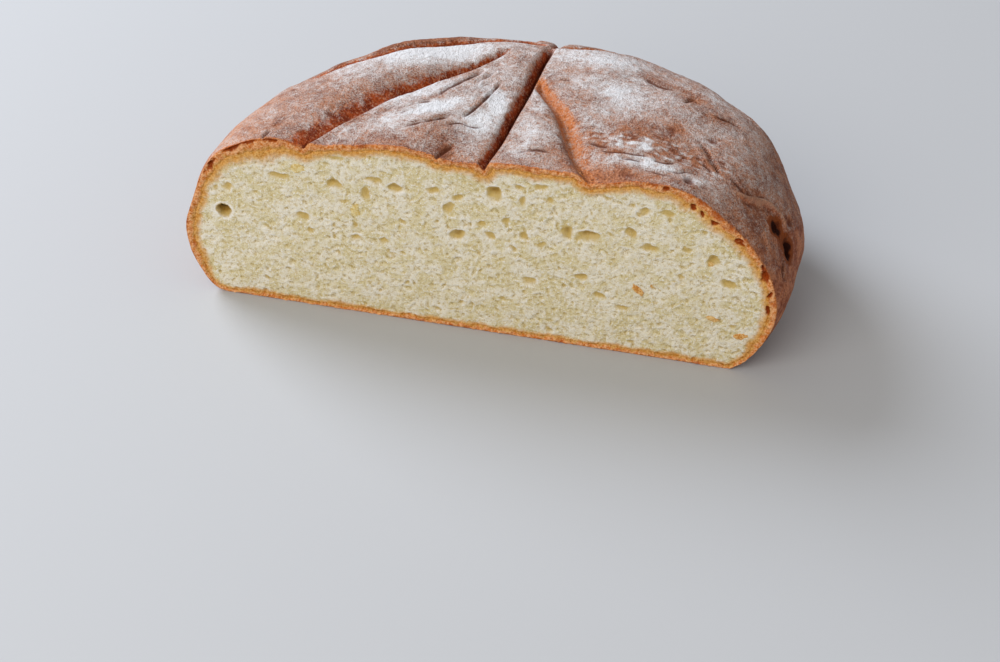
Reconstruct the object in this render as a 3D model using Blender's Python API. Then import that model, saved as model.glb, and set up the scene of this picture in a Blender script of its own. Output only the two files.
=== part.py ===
"""A round onion loaf with the front cut away: one solid, standing as it lies on a table.

Shape values are in millimetres and the model is built in metres.  x runs along the cut,
"back" is the distance behind the cut face, and z is the height above the table.  The
finished loaf is moved so that its origin is under the middle of its box.
"""
import math
import random

import bmesh
import bpy
import numpy as np

MM = 0.001

# The dome: an oval belly, a flat crown and round shoulders
LONG_RADIUS = 125.5
SHORT_RADIUS = 104.0
LONG_AXIS_TURN = math.radians(25.0)
CROWN_HEIGHT = 83.0
BELLY_HEIGHT = 32.0
FOOT_SHARE = 0.90
CROWN_POWER = 6.0
SHOULDER_POWER = 1.35
FOOT_POWER = 2.1
FLOOR_TRIM = 1.2

# The cut, and the thin crust that stands round the crumb
CUT_BEFORE_AXIS = 22.0
CRUST_THICKNESS = 2.2
CRUMB_RECESS = 0.7

# How finely the skin is made, and the share of its triangles that is kept
SKIN_STEP = 1.1
KEPT_SHARE = 0.055

# The folds of dough meet at the star.  Each crease runs outward from it, as points
# (x, back).  "left" and "right" are the widths of its two flanks for someone who walks
# outward, at its start, halfway and near its end, a narrow one being a sharp lip.
# "lift" raises the dough beside the lip, and "at_cut" is the share of the depth that is
# left where the crease runs out through the cut.
STAR = (8.5, 95.0)
CREASES = [
    dict(name="front", depth=4.4, crack=1.2, valley=1.7, lift=0.6, at_cut=0.60,
         left=(2.0, 2.0, 2.0), right=(2.6, 2.8, 2.0),
         route=[STAR, (7.5, 81), (5.8, 56), (4.0, 33), (1.8, 15), (-0.8, 0), (-5, -26)]),
    dict(name="front left", depth=4.6, crack=1.2, valley=2.4, lift=0.9, at_cut=0.62,
         left=(2.0, 2.0, 2.0), right=(2.6, 7.5, 5.0),
         route=[(-8, 83), (-22.8, 64), (-36, 49.3), (-50.2, 31.4), (-61.4, 14.5), (-72.5, 0), (-88, -24)]),
    dict(name="far left", depth=3.0, crack=0.5, valley=0.3, lift=1.5, at_cut=1.0,
         left=(3.5, 3.5, 3.5), right=(2.2, 2.2, 2.2),
         route=[(6, 97), (-4, 99), (-22, 94), (-42, 82), (-62, 68.5), (-78, 59), (-92, 50)]),
    dict(name="front right", depth=4.0, crack=0.5, valley=1.6, lift=0.8, at_cut=0.90,
         left=(3.0, 7.0, 9.0), right=(2.4, 2.6, 3.2),
         route=[(8.5, 66), (11, 57), (22, 38.5), (30.5, 17), (40, 0), (54, -24)]),
    dict(name="back", depth=4.0, crack=0.8, valley=1.0, lift=0.0, at_cut=1.0,
         left=(4.0, 4.0, 4.0), right=(4.0, 4.0, 4.0),
         route=[STAR, (10, 110), (12, 128), (13, 165)]),
    dict(name="back right", depth=3.8, crack=0.8, valley=1.0, lift=0.4, at_cut=1.0,
         left=(3.0, 3.0, 3.0), right=(4.0, 5.5, 7.0),
         route=[STAR, (32, 106), (58, 113), (108, 136)]),
    dict(name="back left", depth=3.8, crack=0.8, valley=1.0, lift=0.4, at_cut=1.0,
         left=(4.0, 5.0, 6.0), right=(3.0, 3.0, 3.0),
         route=[(0, 106), (-16, 114), (-38, 121), (-72, 148)]),
]
WIDTH_PLACES = (0.1, 0.5, 0.8)
CRACK_WIDTH = 1.3
VALLEY_WIDTH = 18.0
LIFT_WIDTH = 7.0
LIFT_START = 30.0
LIFT_FULL, LIFT_GONE = 0.35, 0.75
FADE_IN = 9.0
FADE_OUT = 26.0
FADE_LOW, FADE_HIGH = 10.0, 42.0
EASE_BACK = 30.0

# Dents, burst blisters and, with a depth below zero, bulges: (x, back, z, radius, depth)
DENTS = [
    (4, 101, 82, 13.0, 2.6), (-98, 60, 55, 9.0, 1.2), (92, 88, 45, 9.0, 1.2), (70, 68, 80, 6.0, 1.0),
    (-66, 8, 78, 4.0, 0.6), (-20, 22, 83, 4.5, 0.8), (-10, 50, 83, 4.0, 0.8), (-50, 0, 80, 14.0, 1.6),
    (-30, -2, 82, 14.0, 1.2), (-16, 0, 81, 9.0, 2.2), (-6, 0, 80, 6.0, 1.7), (48, 0, 80, 9.0, 1.4),
    (104, 21, 62, 7.0, 1.0), (115, 15, 50, 9.0, 1.2), (110.6, 19, 55, 2.8, 2.6), (112.6, 19, 51, 2.8, 2.2),
    (114.6, 18.6, 47.5, 2.6, 2.6), (116, 4, 36, 20.0, -1.9), (-106, 2, 66, 13.0, -1.2), (71, 0, 81, 8.0, -1.4),
    (88, 2, 70, 8.0, 1.1),
]

# Slow swells of the crust: (length, direction, phase, height)
SWELLS = [(74, 0.4, 0.3, 0.55), (53, 1.9, 1.1, 0.45), (38, 2.8, 2.0, 0.35), (27, 0.9, 0.5, 0.25)]

# Gas holes that the knife opened in the crumb: (x, z, width, height)
PORES = [
    (-105.0, 41, 5.0, 6.0), (-103, 51, 4.7, 2.6), (-92, 51, 3.7, 1.9), (-82, 60, 7.0, 2.9),
    (-73, 42, 5.8, 3.2), (-60, 60, 4.7, 4.5), (-56, 53, 4.2, 1.9), (-47.5, 57, 3.2, 5.2),
    (-44, 64.5, 7.4, 2.6), (-35.4, 62, 4.2, 4.4), (-51, 35.5, 4.7, 2.9), (-40, 36, 3.2, 2.6),
    (-20, 63.5, 5.8, 3.2), (-14, 56, 3.2, 5.6), (-10.5, 44, 5.3, 4.4), (3.5, 66, 5.3, 6.4),
    (13, 71, 3.7, 2.8), (14, 64.5, 2.6, 4.6), (21, 72.5, 4.2, 2.4), (15, 49, 3.2, 3.2),
    (8.3, 53.5, 2.6, 4.2), (2.5, 46.5, 3.2, 3.6), (32.5, 52.5, 4.2, 4.8), (41, 53, 7.9, 4.6),
    (22.6, 45.5, 4.7, 2.2), (18.7, 27.5, 5.8, 2.4), (39.4, 33, 4.7, 3.6), (46.4, 25.5, 5.0, 2.8),
    (47.5, 71, 6.9, 1.8), (57, 57, 3.7, 4.2), (65, 52, 6.3, 3.2), (62, 68.5, 3.7, 3.0),
    (70, 68.5, 5.6, 2.2), (79, 53.5, 3.7, 2.0), (89, 49.5, 4.7, 4.2), (96, 40, 6.8, 3.6),
    (77, 40, 3.2, 2.0), (56, 21, 5.8, 2.4),
]
HIDDEN_PORES = 14
HIDDEN_SPAN = (-96.0, 6.0, 8.0, 32.0)
PORE_DEPTH = 1.7
PORE_GAP = 1.2
SEED = 14

CRUST_COLOUR = (0.36, 0.15, 0.085, 1.0)
CRUMB_COLOUR = (0.70, 0.64, 0.42, 1.0)


def clear_scene():
    for thing in list(bpy.data.objects):
        bpy.data.objects.remove(thing)


def smooth_step(low, high, value):
    share = np.clip((value - low) / (high - low), 0.0, 1.0)
    return share * share * (3.0 - 2.0 * share)


def belly_radius(angle):
    """Radius of the oval belly at an angle about the axis."""
    turned = angle - LONG_AXIS_TURN
    return 1.0 / np.hypot(np.cos(turned) / LONG_RADIUS, np.sin(turned) / SHORT_RADIUS)


def side_profile(step):
    """(share of the belly's radius, height) from the crown to the foot, evenly spaced."""
    across = 1.0 - np.geomspace(1.0, 1e-5, 1500)
    rise = (CROWN_HEIGHT - BELLY_HEIGHT) * (1.0 - across ** CROWN_POWER) ** (1.0 / SHOULDER_POWER)
    down = np.linspace(0.0, 1.0, 200)
    tuck = 1.0 - (1.0 - FOOT_SHARE) * down ** FOOT_POWER
    share = np.concatenate([across, tuck])
    height = np.concatenate([BELLY_HEIGHT + rise, BELLY_HEIGHT - (BELLY_HEIGHT + FLOOR_TRIM) * down])
    radius = share * 0.5 * (LONG_RADIUS + SHORT_RADIUS)
    length = np.concatenate([[0.0], np.cumsum(np.hypot(np.diff(radius), np.diff(height)))])
    places = np.linspace(0.0, length[-1], int(length[-1] / step) + 1)
    return np.interp(places, length, share), np.interp(places, length, height)


def smooth_route(points, count=60):
    """A smooth curve through the points of a route."""
    knots = np.array([points[0]] + list(points) + [points[-1]], float)
    curve = []
    for a, b, c, d in zip(knots, knots[1:], knots[2:], knots[3:]):
        for t in np.linspace(0.0, 1.0, count // len(points), endpoint=False):
            curve.append(0.5 * (2 * b + (c - a) * t + (2 * a - 5 * b + 4 * c - d) * t * t
                                + (3 * b - a - 3 * c + d) * t ** 3))
    curve.append(knots[-1])
    return np.array(curve)


def along_route(route, places):
    """Signed distance of each place from a route, left being positive, and its run outward."""
    start, leg = route[:-1], np.diff(route, axis=0)
    length = np.hypot(leg[:, 0], leg[:, 1])
    run = np.concatenate([[0.0], np.cumsum(length)])[:-1]
    best = np.full(len(places), 1e9)
    side = np.zeros(len(places))
    outward = np.zeros(len(places))
    for a, step, size, before in zip(start, leg, length, run):
        offset = places - a
        t = np.clip((offset @ step) / size ** 2, 0.0, 1.0)
        gap = offset - t[:, None] * step
        distance = np.hypot(gap[:, 0], gap[:, 1])
        closer = distance < best
        best = np.where(closer, distance, best)
        cross = step[0] * offset[:, 1] - step[1] * offset[:, 0]
        side = np.where(closer, np.sign(cross), side)
        outward = np.where(closer, before + t * size, outward)
    return best * side, outward


def crease_push(crease, spots):
    """How deep one crease sinks the skin, and how high it lifts the dough beside it."""
    places = np.column_stack([spots[:, 0], spots[:, 1] + CUT_BEFORE_AXIS])
    route = smooth_route(crease["route"])
    distance, outward = along_route(route, places)
    reach = np.hypot(*np.diff(route, axis=0).T).sum()
    left, right = (np.interp(outward / reach, WIDTH_PLACES, crease[side]) for side in ("left", "right"))
    flank = np.where(distance > 0.0, left, right)
    trough = crease["depth"] * np.exp(-(distance / flank) ** 2)
    crack = crease["crack"] * np.exp(-(distance / CRACK_WIDTH) ** 2)
    valley = crease["valley"] * np.exp(-(distance / VALLEY_WIDTH) ** 2)
    beyond = np.clip(np.abs(distance) - flank, 0.0, None)
    bump = (beyond / LIFT_WIDTH) * np.exp(1.0 - beyond / LIFT_WIDTH)
    lift = crease["lift"] * np.where(distance * (right - left) > 0.0, bump, 0.0)
    lift *= smooth_step(0.0, LIFT_START, outward) * smooth_step(LIFT_GONE * reach, LIFT_FULL * reach, outward)
    fade = smooth_step(-0.5 * FADE_IN, FADE_IN, outward) * smooth_step(reach, reach - FADE_OUT, outward)
    fade *= smooth_step(FADE_LOW, FADE_HIGH, spots[:, 2])
    eased = 1.0 - (1.0 - crease["at_cut"]) * smooth_step(EASE_BACK, 0.0, places[:, 1])
    return ((trough + crack) * eased + valley) * fade, lift * fade


def dent_push(spots):
    push = np.zeros(len(spots))
    for x, back, z, radius, depth in DENTS:
        gap = spots - np.array([x, back - CUT_BEFORE_AXIS, z])
        push -= depth * np.exp(-(gap ** 2).sum(axis=1) / radius ** 2)
    return push


def swell_push(spots):
    push = np.zeros(len(spots))
    for length, direction, phase, height in SWELLS:
        reach = spots[:, 0] * math.cos(direction) + spots[:, 1] * math.sin(direction) + 0.6 * spots[:, 2]
        push += height * np.sin(2.0 * math.pi * reach / length + phase)
    return push * smooth_step(0.0, FADE_HIGH, spots[:, 2])


def join_rings(first, second):
    """Triangles between two rings, given as (index of the first point, number of points)."""
    (a0, many_a), (b0, many_b) = first, second
    faces = []
    a, b = (1 if many_a == 1 else 0), 0
    while a < many_a or b < many_b:
        here_a, here_b = a0 + a % many_a, b0 + b % many_b
        if b == many_b or (a < many_a and (a + 1) * many_b <= (b + 1) * many_a):
            a += 1
            faces.append((here_a, here_b, a0 + a % many_a))
        else:
            b += 1
            faces.append((here_a, here_b, b0 + b % many_b))
    return faces


def plain_dome(step):
    """The smooth dome in rings from the crown down, closed by its underside."""
    spots = [np.array([[0.0, 0.0, CROWN_HEIGHT]])]
    rings = [(0, 1)]
    faces = []
    for share, height in list(zip(*side_profile(step)))[1:]:
        around = 2.0 * math.pi * share * 0.5 * (LONG_RADIUS + SHORT_RADIUS)
        count = max(6, round(around / step))
        angle = 2.0 * math.pi * np.arange(count) / count
        radius = share * belly_radius(angle)
        spots.append(np.column_stack([radius * np.cos(angle), radius * np.sin(angle), np.full(count, height)]))
        rings.append((rings[-1][0] + rings[-1][1], count))
        faces += join_rings(rings[-2], rings[-1])
    first, count = rings[-1]
    faces.append(tuple(first + i for i in reversed(range(count))))
    return np.vstack(spots), faces


def skin_mesh():
    """The dome with its creases, dents and swells pushed in along the skin's normals."""
    spots, faces = plain_dome(SKIN_STEP)
    mesh = bpy.data.meshes.new("loaf_skin")
    mesh.from_pydata(spots.tolist(), [], faces)
    normals = np.array([vertex.normal[:] for vertex in mesh.vertices])
    deepest = np.zeros(len(spots))
    push = dent_push(spots) + swell_push(spots)
    for crease in CREASES:
        sunk, lifted = crease_push(crease, spots)
        deepest = np.maximum(deepest, sunk)
        push += lifted
    push -= deepest
    under = spots[:, 2] < 0.0
    push[under] = 0.0
    mesh.vertices.foreach_set("co", (spots + normals * push[:, None]).ravel())
    mesh.update()
    return mesh


def thinned(mesh):
    """The same skin with fewer triangles: most are spent on the creases and the rim."""
    loaf = bpy.data.objects.new("full_loaf", mesh)
    bpy.context.collection.objects.link(loaf)
    thin = loaf.modifiers.new("Thin", "DECIMATE")
    thin.ratio = KEPT_SHARE
    form = bmesh.new()
    form.from_object(loaf, bpy.context.evaluated_depsgraph_get())
    bpy.data.objects.remove(loaf)
    return form


def slice_off(form, point, outward):
    """Cuts away what lies beyond a plane, and returns the new flat face."""
    everything = form.verts[:] + form.edges[:] + form.faces[:]
    bmesh.ops.bisect_plane(form, geom=everything, dist=1e-4, plane_co=point, plane_no=outward, clear_outer=True)
    rim = [edge for edge in form.edges if edge.is_boundary]
    return bmesh.ops.holes_fill(form, edges=rim, sides=0)["faces"]


def sink_crumb(form, cut):
    """Insets the cut face, draws its inner outline in by the crust and sets it back."""
    bmesh.ops.inset_region(form, faces=cut, thickness=0.0)
    middle_z = 0.5 * CROWN_HEIGHT
    shrink_x = 1.0 - CRUST_THICKNESS / LONG_RADIUS
    shrink_z = 1.0 - CRUST_THICKNESS / middle_z
    for vertex in {vertex for face in cut for vertex in face.verts}:
        vertex.co.x *= shrink_x
        vertex.co.y += CRUMB_RECESS
        vertex.co.z = middle_z + (vertex.co.z - middle_z) * shrink_z


def loaf_form():
    """The cut loaf: a flat foot, and a crumb face set a little behind its crust."""
    form = thinned(skin_mesh())
    slice_off(form, (0.0, 0.0, 0.0), (0.0, 0.0, -1.0))
    cut = slice_off(form, (0.0, -CUT_BEFORE_AXIS, 0.0), (0.0, -1.0, 0.0))
    bmesh.ops.recalc_face_normals(form, faces=form.faces)
    sink_crumb(form, cut)
    for face in form.faces:
        face.material_index = 0
    for face in cut:
        face.material_index = 1
    bmesh.ops.triangulate(form, faces=form.faces)
    return form


def pore_list():
    """The holes that show, and more by a seeded draw where the cut face is hidden."""
    draw = random.Random(SEED)
    pores = list(PORES)
    low_x, high_x, low_z, high_z = HIDDEN_SPAN
    wanted = len(PORES) + HIDDEN_PORES
    while len(pores) < wanted:
        x, z = draw.uniform(low_x, high_x), draw.uniform(low_z, high_z)
        width, height = draw.uniform(2.6, 6.5), draw.uniform(2.0, 3.6)
        apart = [math.hypot(x - a, z - b) > 0.5 * (max(width, height) + max(c, d)) + PORE_GAP
                 for a, b, c, d in pores]
        if all(apart):
            pores.append((x, z, width, height))
    return pores


def pore_cutter():
    """Lens-shaped cutters, half sunk in the crumb."""
    form = bmesh.new()
    face_y = -CUT_BEFORE_AXIS + CRUMB_RECESS
    for x, z, width, height in pore_list():
        lens = bmesh.ops.create_icosphere(form, subdivisions=1, radius=1.0)["verts"]
        for vertex in lens:
            turn = vertex.co.copy()
            vertex.co = (x + 0.5 * width * turn.x, face_y + PORE_DEPTH * turn.y, z + 0.5 * height * turn.z)
    mesh = bpy.data.meshes.new("pores")
    form.to_mesh(mesh)
    form.free()
    cutter = bpy.data.objects.new("pore_cutter", mesh)
    cutter.hide_render = True
    cutter.display_type = "WIRE"
    bpy.context.collection.objects.link(cutter)
    return cutter


def food_material(name, colour, roughness):
    material = bpy.data.materials.new(name)
    material.use_nodes = True
    shader = material.node_tree.nodes["Principled BSDF"]
    shader.inputs["Base Color"].default_value = colour
    shader.inputs["Roughness"].default_value = roughness
    material.diffuse_color = colour
    return material


def place_origin(loaf, cutter):
    """Moves the loaf so that its origin is under the middle of its box, in metres."""
    spots = np.array([vertex.co[:] for vertex in loaf.data.vertices])
    low, high = spots.min(axis=0), spots.max(axis=0)
    middle = (0.5 * (low[0] + high[0]), 0.5 * (low[1] + high[1]), low[2])
    for thing in (loaf, cutter):
        for vertex in thing.data.vertices:
            vertex.co = [(value - shift) * MM for value, shift in zip(vertex.co, middle)]
        thing.data.update()
    return middle


def build_loaf():
    form = loaf_form()
    mesh = bpy.data.meshes.new("loaf")
    form.to_mesh(mesh)
    form.free()
    loaf = bpy.data.objects.new("loaf", mesh)
    bpy.context.collection.objects.link(loaf)
    mesh.materials.append(food_material("crust", CRUST_COLOUR, 0.75))
    mesh.materials.append(food_material("crumb", CRUMB_COLOUR, 0.85))
    cutter = pore_cutter()
    middle = place_origin(loaf, cutter)
    pores = loaf.modifiers.new("Pores", "BOOLEAN")
    pores.operation = "DIFFERENCE"
    pores.solver = "EXACT"
    pores.object = cutter
    print("axis of the dome from the origin, mm:", [round(-value, 2) for value in middle])
    return loaf


def main():
    clear_scene()
    build_loaf()


main()
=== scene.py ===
# %% [markdown]
# # A cut onion loaf
# A round loaf of onion bread lies on a table with its front cut away.  The model that was packed
# before this script is one plain solid.  Here it is dressed in two layers that keep its form:
# a floury crust with its folds, and the crumb with its gas holes.  We start by loading the solid,
# and keep its box, which is printed beside the dressed loaf's box at the end.

# %% Load the plain loaf
import math

import bmesh
import bpy
import numpy as np
from mathutils import Euler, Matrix, Vector, kdtree, noise


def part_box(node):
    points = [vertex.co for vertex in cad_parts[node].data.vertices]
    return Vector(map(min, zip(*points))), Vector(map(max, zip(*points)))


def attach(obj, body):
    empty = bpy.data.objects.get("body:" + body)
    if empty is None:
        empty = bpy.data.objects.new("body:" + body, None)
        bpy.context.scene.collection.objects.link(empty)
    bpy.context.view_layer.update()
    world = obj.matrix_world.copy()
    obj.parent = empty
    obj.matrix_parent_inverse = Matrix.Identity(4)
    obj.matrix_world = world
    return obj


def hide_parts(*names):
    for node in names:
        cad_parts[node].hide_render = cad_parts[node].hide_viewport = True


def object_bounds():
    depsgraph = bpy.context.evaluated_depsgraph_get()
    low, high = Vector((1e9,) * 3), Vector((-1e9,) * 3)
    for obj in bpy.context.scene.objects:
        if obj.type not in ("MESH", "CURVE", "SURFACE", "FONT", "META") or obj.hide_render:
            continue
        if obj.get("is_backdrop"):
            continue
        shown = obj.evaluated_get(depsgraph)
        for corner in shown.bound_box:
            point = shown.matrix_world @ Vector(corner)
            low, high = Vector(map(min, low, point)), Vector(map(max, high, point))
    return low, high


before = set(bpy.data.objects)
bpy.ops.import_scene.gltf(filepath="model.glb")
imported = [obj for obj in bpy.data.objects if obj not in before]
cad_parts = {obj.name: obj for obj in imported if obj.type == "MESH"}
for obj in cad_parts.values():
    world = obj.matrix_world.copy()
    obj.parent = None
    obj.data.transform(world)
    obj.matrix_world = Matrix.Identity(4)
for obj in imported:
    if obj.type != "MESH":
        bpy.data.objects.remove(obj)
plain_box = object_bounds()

MM = 0.001


def add_object(name, data):
    """Makes an object and puts it into the scene."""
    thing = bpy.data.objects.new(name, data)
    bpy.context.scene.collection.objects.link(thing)
    return thing


def print_box(title, box):
    print(title, [round((high - low) / MM, 1) for low, high in zip(*box)])


print_box("plain loaf, mm:", plain_box)

# %% [markdown]
# ## The camera
# The loaf was seen from in front of its cut and from well above, by someone standing at the table.
# A long lens from far away keeps the far side of the loaf as large as the near side.  The place
# and the lens are set first, so that each later choice can be looked at from where it matters.

# %% Camera
camera = add_object("camera", bpy.data.cameras.new("camera"))
camera.data.lens = 76.28
camera.data.sensor_width = 36
camera.location = (0.1237, -0.7181, 0.5287)
camera.rotation_euler = Euler([math.radians(angle) for angle in (51.46, -1.96, 11.64)])
bpy.context.scene.camera = camera
print("camera to the loaf, m:", round(camera.location.length, 2))

# %% [markdown]
# ## The dome
# The dough was a ball that spread on the baking stone: an oval belly, a nearly flat crown and
# round shoulders.  Such a form could be a scaled sphere, but a sphere has no flat crown.  Here one
# side profile is swept round an oval, as a potter turns a bowl.  All shape values are millimetres:
# x along the cut, y back from the dome's axis, z up.

# %% Sizes of the dome
LONG_RADIUS, SHORT_RADIUS = 125.5, 104
MEAN_RADIUS = 0.5 * (LONG_RADIUS + SHORT_RADIUS)
LONG_AXIS_TURN = math.radians(25)
CROWN_HEIGHT, BELLY_HEIGHT = 83, 32
CROWN_POWER, SHOULDER_POWER, FOOT_POWER = 6, 1.35, 2.1
FOOT_SHARE = 0.9  # the foot's radius against the belly's
FOOT_ROUND = 3.5  # radius of the edge between the side and the underside
CUT = -22  # the cut plane's place in y
STEP_HEIGHTS, STEPS = (35, 62), (1, 0.72)
ABOVE, BELOW = 1500, 200  # places on the profile above and below the belly


def skin_step(height):
    """Distance between the points of the skin: finest on the crown, where the folds are."""
    return np.interp(height, STEP_HEIGHTS, STEPS)


def belly_radius(angle):
    """Radius of the oval belly at an angle about the axis."""
    off_axis = angle - LONG_AXIS_TURN
    return 1 / np.hypot(np.cos(off_axis) / LONG_RADIUS, np.sin(off_axis) / SHORT_RADIUS)


def side_profile():
    """(share of the belly's radius, height) from the crown to the foot, a local step apart."""
    across = 1 - np.geomspace(1, 1e-5, ABOVE)
    rise = (CROWN_HEIGHT - BELLY_HEIGHT) * (1 - across ** CROWN_POWER) ** (1 / SHOULDER_POWER)
    down = np.linspace(0, 1, BELOW)
    below = np.clip(FOOT_ROUND - BELLY_HEIGHT * (1 - down), 0, None)
    rounded = (FOOT_ROUND - np.sqrt(FOOT_ROUND ** 2 - below ** 2)) / MEAN_RADIUS
    tuck = 1 - (1 - FOOT_SHARE) * down ** FOOT_POWER - rounded
    share = np.concatenate([across, tuck])
    height = np.concatenate([BELLY_HEIGHT + rise, BELLY_HEIGHT * (1 - down)])
    gaps = np.hypot(np.diff(share * MEAN_RADIUS), np.diff(height)) / skin_step(height[1:])
    count = np.concatenate([[0], np.cumsum(gaps)])
    places = np.linspace(0, count[-1], round(count[-1]) + 1)
    return np.interp(places, count, share), np.interp(places, count, height)


# %% [markdown]
# ## The folds in the dough
# The baker folded the dough's edge over the middle, so its seams meet in a star on the crown.
# Each seam is a trough with one soft and one sharp flank and a crack at its bottom.  A sculpted
# brush could draw them.  A formula by distance from a drawn line is easier to change and to
# repeat, so each seam here is a smooth route of a few points (x, back), "back" being the distance
# behind the cut.

# %% Routes of the seams
STAR = (8.5, 95)
CREASES = [  # the widths of the two flanks are given near the star, halfway and near the far end
    dict(name="front", depth=4.4, left=(1.2, 1.2, 1.2), right=(2.3, 2.8, 1.9), crack=1.2, valley=1.7,
         lift=0.6, at_cut=0.6, toast=0.1, dust=0.04,
         route=[STAR, (7.5, 81), (5.8, 56), (4, 33), (1.8, 15), (-0.8, 0), (-5, -26)]),
    dict(name="front left", depth=4.6, left=(1.2, 1.4, 1.6), right=(2.6, 7.5, 5), crack=1.2, valley=2.4,
         lift=0.9, at_cut=0.62, toast=0.15, dust=0.12,
         route=[(-8, 83), (-22.8, 64), (-36, 49.3), (-50.2, 31.4), (-61.4, 14.5), (-72.5, 0), (-88, -24)]),
    dict(name="far left", depth=3, left=(3.5, 3.5, 3.5), right=(2.2, 2.2, 2.2), crack=0.5, valley=0.3,
         lift=1.5, at_cut=1, toast=0.3, dust=0.1,
         route=[(6, 97), (-4, 99), (-22, 94), (-42, 82), (-62, 68.5), (-78, 59), (-92, 50)]),
    dict(name="front right", depth=4, left=(2.2, 5, 9), right=(2.4, 2.6, 3.2), crack=0.45, valley=1.6,
         lift=0.8, at_cut=0.9, toast=1, dust=0.45,
         route=[(8.5, 66), (11, 57), (22, 38.5), (30.5, 17), (40, 0), (54, -24)]),
    dict(name="back", depth=4, left=(1.8, 3, 4), right=(1.8, 3, 4), crack=0.8, valley=1,
         lift=0, at_cut=1, toast=0.3, dust=0.1,
         route=[STAR, (10, 110), (12, 128), (13, 165)]),
    dict(name="back right", depth=3.8, left=(3, 3, 3), right=(4, 5.5, 7), crack=0.8, valley=1,
         lift=0.4, at_cut=1, toast=0.6, dust=0.2,
         route=[STAR, (32, 106), (58, 113), (108, 136)]),
    dict(name="back left", depth=3.8, left=(4, 5, 6), right=(3, 3, 3), crack=0.8, valley=1,
         lift=0.4, at_cut=1, toast=0.4, dust=0.15,
         route=[(0, 106), (-16, 114), (-38, 121), (-72, 148)]),
]
WIDTH_PLACES = (0.1, 0.5, 0.8)  # where the widths are given, as shares of a seam's length
CRACK_WIDTH, VALLEY_WIDTH, LIFT_WIDTH = 1.1, 18, 7
LIFT_START, LIFT_KEPT, LIFT_GONE = 30, 0.35, 0.75  # mm, then shares of the length
FADE_IN, FADE_OUT = 9, 26
LOW_AND_HIGH = (10, 42)  # heights between which seams and wrinkles grow up from nothing
EASE_BACK = 30  # from here to the cut a seam gets shallower
print("seams:", ", ".join(crease["name"] for crease in CREASES))


# %% From a drawn line to the shape of a seam
def smooth_step(low, high, value):
    """0 up to the low value, 1 from the high one on, and smooth between them."""
    share = np.clip((value - low) / (high - low), 0, 1)
    return share * share * (3 - 2 * share)


def smooth_route(points, count=60):
    """A smooth curve through the points of a route."""
    knots = np.array([points[0]] + list(points) + [points[-1]], float)
    curve = []
    for a, b, c, d in zip(knots, knots[1:], knots[2:], knots[3:]):
        for t in np.linspace(0, 1, count // len(points), endpoint=False):
            curve.append(0.5 * (2 * b + (c - a) * t + (2 * a - 5 * b + 4 * c - d) * t * t
                                + (3 * b - a - 3 * c + d) * t ** 3))
    curve.append(knots[-1])
    return np.array(curve)


def along_route(route, places):
    """Signed distance of each place from a route, left being positive, its run, and the whole run."""
    leg = np.diff(route, axis=0)
    length = np.hypot(leg[:, 0], leg[:, 1])
    run = np.concatenate([[0], np.cumsum(length)])
    best = np.full(len(places), np.inf)
    side, outward = np.zeros(len(places)), np.zeros(len(places))
    for a, step, size, before in zip(route, leg, length, run):
        offset = places - a
        t = np.clip((offset @ step) / size ** 2, 0, 1)
        gap = offset - t[:, None] * step
        distance = np.hypot(gap[:, 0], gap[:, 1])
        closer = distance < best
        best = np.where(closer, distance, best)
        cross = step[0] * offset[:, 1] - step[1] * offset[:, 0]
        side = np.where(closer, np.sign(cross), side)
        outward = np.where(closer, before + t * size, outward)
    return best * side, outward, run[-1]


def from_cut(spots):
    """(x, distance behind the cut) of each point."""
    return np.column_stack([spots[:, 0], spots[:, 1] - CUT])


def crease_shape(crease, spots):
    """What one seam does to the skin: sunk and lifted, mm, and shares of wall and of crack."""
    places = from_cut(spots)
    distance, outward, reach = along_route(smooth_route(crease["route"]), places)
    left, right = (np.interp(outward / reach, WIDTH_PLACES, crease[side]) for side in ("left", "right"))
    flank = np.where(distance > 0, left, right)
    wall = np.exp(-(distance / flank) ** 2)
    crack = np.exp(-(distance / CRACK_WIDTH) ** 2)
    valley = crease["valley"] * np.exp(-(distance / VALLEY_WIDTH) ** 2)
    beyond = np.clip(np.abs(distance) - flank, 0, None) / LIFT_WIDTH
    lift = crease["lift"] * np.where(distance * (right - left) > 0, beyond * np.exp(1 - beyond), 0)
    lift *= smooth_step(0, LIFT_START, outward)
    lift *= smooth_step(LIFT_GONE * reach, LIFT_KEPT * reach, outward)
    fade = smooth_step(-0.5 * FADE_IN, FADE_IN, outward) * smooth_step(reach, reach - FADE_OUT, outward)
    fade *= smooth_step(*LOW_AND_HIGH, spots[:, 2])
    eased = 1 - (1 - crease["at_cut"]) * smooth_step(EASE_BACK, 0, places[:, 1])
    sunk = (crease["depth"] * wall + crease["crack"] * crack) * eased + valley
    return sunk * fade, lift * fade, wall * fade, crack * fade * eased


# %% [markdown]
# ## Wrinkles, dents and pimples
# Between the seams the skin of the dough dried, wrinkled and blistered in the oven.  The larger
# marks have their own places.  The pimples between them come from noise of three sizes, because no
# two stretches of a crust are alike, and a repeated stamp would show.

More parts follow.
